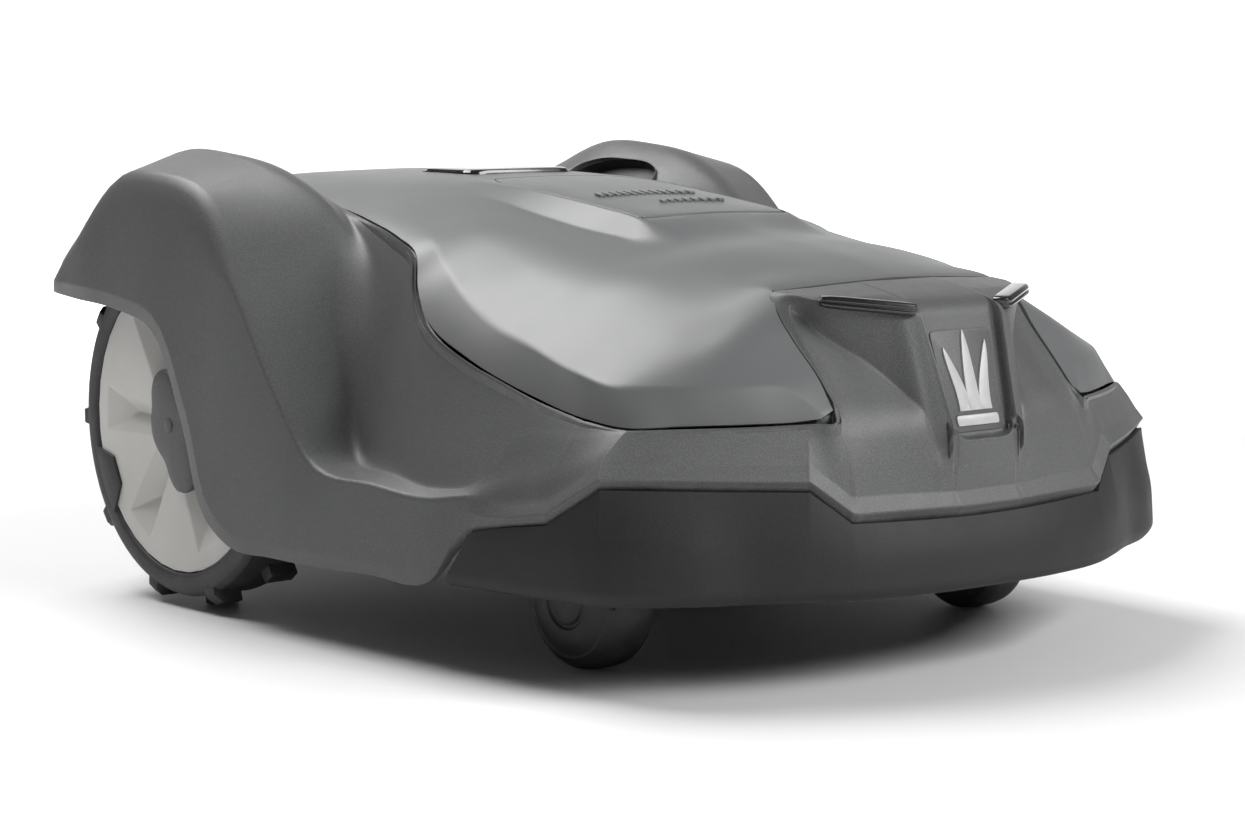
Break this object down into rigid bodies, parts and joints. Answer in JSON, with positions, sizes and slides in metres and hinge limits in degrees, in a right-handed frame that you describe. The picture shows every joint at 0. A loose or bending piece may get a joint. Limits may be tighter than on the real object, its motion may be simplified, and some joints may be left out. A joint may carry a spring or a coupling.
{
  "type": "robotic lawn mower",
  "caption": "Low four-wheel robotic lawn mower with a floating moulded shell, hinged hatch, large rear drive wheels, front castors and a height-adjustable cutting disc.",
  "frame": {"origin": "on the ground, at the middle of the machine's bounding box seen from above", "axes": "front towards -Y, up +Z, +X to the right when looking along +Y"},
  "size_m": [0.527, 0.6975, 0.3098],
  "materials": {
    "shell_plastic": "fine-grained matte moulded plastic",
    "cover_paint": "smooth semi-gloss painted cover",
    "bumper_plastic": "near-black soft-touch plastic",
    "trim_black": "black lens and button plastic",
    "emblem_grey": "light satin grey",
    "chassis_plastic": "dark moulded structural plastic",
    "rubber_black": "soft black rubber",
    "tyre_rubber": "hard black tyre compound",
    "wheel_grey": "warm light grey moulded plastic",
    "cap_grey": "dark grey moulded plastic",
    "steel": "zinc-plated and stainless steel",
    "blade_steel": "thin hardened blade steel",
    "brass": "plain brass",
    "bush_plastic": "natural acetal",
    "board_green": "green solder mask",
    "battery_plastic": "blue-grey battery case",
    "display_glass": "dark display window",
    "orange_plastic": "orange control plastic"
  },
  "bodies": {
    "chassis": {"chassis_pan": "chassis_plastic", "chassis_deck": "chassis_plastic", "chassis_seal": "rubber_black", "chassis_screws": "steel", "suspension_boots": "rubber_black", "rear_handle": "bumper_plastic", "battery_pack": "battery_plastic", "battery_door": "chassis_plastic", "battery_door_screws": "steel", "main_board": "board_green", "switch_pin": "steel", "charging_contacts": "brass", "control_panel": "chassis_plastic", "display": "display_glass", "wheel_motor_left": "cap_grey", "wheel_motor_right": "cap_grey", "castor_bushes": "bush_plastic"},
    "shell": {"body_shell": "shell_plastic", "top_cover": "cover_paint", "nose_housing": "shell_plastic", "emblem_panel": "shell_plastic", "emblem": "emblem_grey", "headlight_left": "trim_black", "headlight_right": "trim_black", "front_bumper": "bumper_plastic", "hatch_hinge_pin": "steel", "hatch_frame": "chassis_plastic", "stop_button_guide": "chassis_plastic"},
    "hatch": {"hatch": "cover_paint"},
    "stop_button": {"stop_button": "trim_black"},
    "start_button": {"start_button": "orange_plastic"},
    "home_button": {"home_button": "cap_grey"},
    "up_button": {"up_button": "cap_grey"},
    "down_button": {"down_button": "cap_grey"},
    "main_switch": {"main_switch": "trim_black"},
    "height_knob": {"height_knob": "orange_plastic"},
    "cutter_carriage": {"cutter_carriage": "chassis_plastic", "cutter_motor": "steel"},
    "cutting_disc": {"cutter_shaft": "steel", "cutting_disc": "chassis_plastic", "blade_screws": "brass"},
    "blade_1": {"blade_1": "blade_steel"},
    "blade_2": {"blade_2": "blade_steel"},
    "blade_3": {"blade_3": "blade_steel"},
    "skid_plate": {"skid_plate": "chassis_plastic"},
    "wheel_left": {"drive_shaft_left": "steel", "wheel_disc_left": "wheel_grey", "tyre_left": "tyre_rubber", "wheel_cap_left": "cap_grey"},
    "castor_fork_left": {"castor_fork_left": "chassis_plastic", "castor_axles_left": "steel"},
    "castor_wheel_left": {"castor_wheel_left": "rubber_black"},
    "wheel_right": {"drive_shaft_right": "steel", "wheel_disc_right": "wheel_grey", "tyre_right": "tyre_rubber", "wheel_cap_right": "cap_grey"},
    "castor_fork_right": {"castor_fork_right": "chassis_plastic", "castor_axles_right": "steel"},
    "castor_wheel_right": {"castor_wheel_right": "rubber_black"}
  },
  "joints": [
    {"name": "shell_bump", "type": "slide", "parent": "chassis", "child": "shell", "axis": [0, 1, 0], "range_m": [-0.005, 0.005], "stiffness_N_per_m": 4000},
    {"name": "hatch_hinge", "type": "hinge", "parent": "shell", "child": "hatch", "pos_m": [0, -0.0858, 0.2667], "axis": [1, 0, 0], "range_deg": [0, 80]},
    {"name": "stop_press", "type": "slide", "parent": "shell", "child": "stop_button", "axis": [0, 0, -1], "range_m": [0, 0.004], "stiffness_N_per_m": 900},
    {"name": "start_press", "type": "slide", "parent": "chassis", "child": "start_button", "axis": [0, 0, -1], "range_m": [0, 0.0015], "stiffness_N_per_m": 400},
    {"name": "home_press", "type": "slide", "parent": "chassis", "child": "home_button", "axis": [0, 0, -1], "range_m": [0, 0.0015], "stiffness_N_per_m": 400},
    {"name": "up_press", "type": "slide", "parent": "chassis", "child": "up_button", "axis": [0, 0, -1], "range_m": [0, 0.0015], "stiffness_N_per_m": 400},
    {"name": "down_press", "type": "slide", "parent": "chassis", "child": "down_button", "axis": [0, 0, -1], "range_m": [0, 0.0015], "stiffness_N_per_m": 400},
    {"name": "main_switch_rock", "type": "hinge", "parent": "chassis", "child": "main_switch", "pos_m": [-0.11, 0.25, 0.0635], "axis": [1, 0, 0], "range_deg": [-8, 8]},
    {"name": "height_slide", "type": "slide", "parent": "chassis", "child": "cutter_carriage", "axis": [0, 0, -1], "range_m": [0, 0.04]},
    {"name": "height_knob_turn", "type": "hinge", "parent": "chassis", "child": "height_knob", "pos_m": [0, -0.03, 0.24], "axis": [0, 0, 1], "range_deg": [0, 320]},
    {"name": "disc_spin", "type": "hinge", "parent": "cutter_carriage", "child": "cutting_disc", "pos_m": [0, -0.03, 0.062], "axis": [0, 0, 1], "continuous": true},
    {"name": "blade_1_pivot", "type": "hinge", "parent": "cutting_disc", "child": "blade_1", "pos_m": [0, 0.058, 0.059], "axis": [0, 0, 1], "continuous": true},
    {"name": "blade_2_pivot", "type": "hinge", "parent": "cutting_disc", "child": "blade_2", "pos_m": [-0.07621, -0.074, 0.059], "axis": [0, 0, 1], "continuous": true},
    {"name": "blade_3_pivot", "type": "hinge", "parent": "cutting_disc", "child": "blade_3", "pos_m": [0.07621, -0.074, 0.059], "axis": [0, 0, 1], "continuous": true},
    {"name": "skid_spin", "type": "hinge", "parent": "cutting_disc", "child": "skid_plate", "pos_m": [0, -0.03, 0.05], "axis": [0, 0, 1], "continuous": true},
    {"name": "wheel_left_spin", "type": "hinge", "parent": "chassis", "child": "wheel_left", "pos_m": [-0.228, 0.178, 0.125], "axis": [1, 0, 0], "continuous": true},
    {"name": "castor_left_swivel", "type": "hinge", "parent": "chassis", "child": "castor_fork_left", "pos_m": [-0.168, -0.183, 0.11], "axis": [0, 0, 1], "continuous": true},
    {"name": "castor_left_roll", "type": "hinge", "parent": "castor_fork_left", "child": "castor_wheel_left", "pos_m": [-0.168, -0.161, 0.044], "axis": [1, 0, 0], "continuous": true},
    {"name": "wheel_right_spin", "type": "hinge", "parent": "chassis", "child": "wheel_right", "pos_m": [0.228, 0.178, 0.125], "axis": [1, 0, 0], "continuous": true},
    {"name": "castor_right_swivel", "type": "hinge", "parent": "chassis", "child": "castor_fork_right", "pos_m": [0.168, -0.183, 0.11], "axis": [0, 0, 1], "continuous": true},
    {"name": "castor_right_roll", "type": "hinge", "parent": "castor_fork_right", "child": "castor_wheel_right", "pos_m": [0.168, -0.161, 0.044], "axis": [1, 0, 0], "continuous": true}
  ],
  "couplings": [
    {"joint": "height_knob_turn", "follows": "height_slide", "rad_per_m": 139.63}
  ]
}
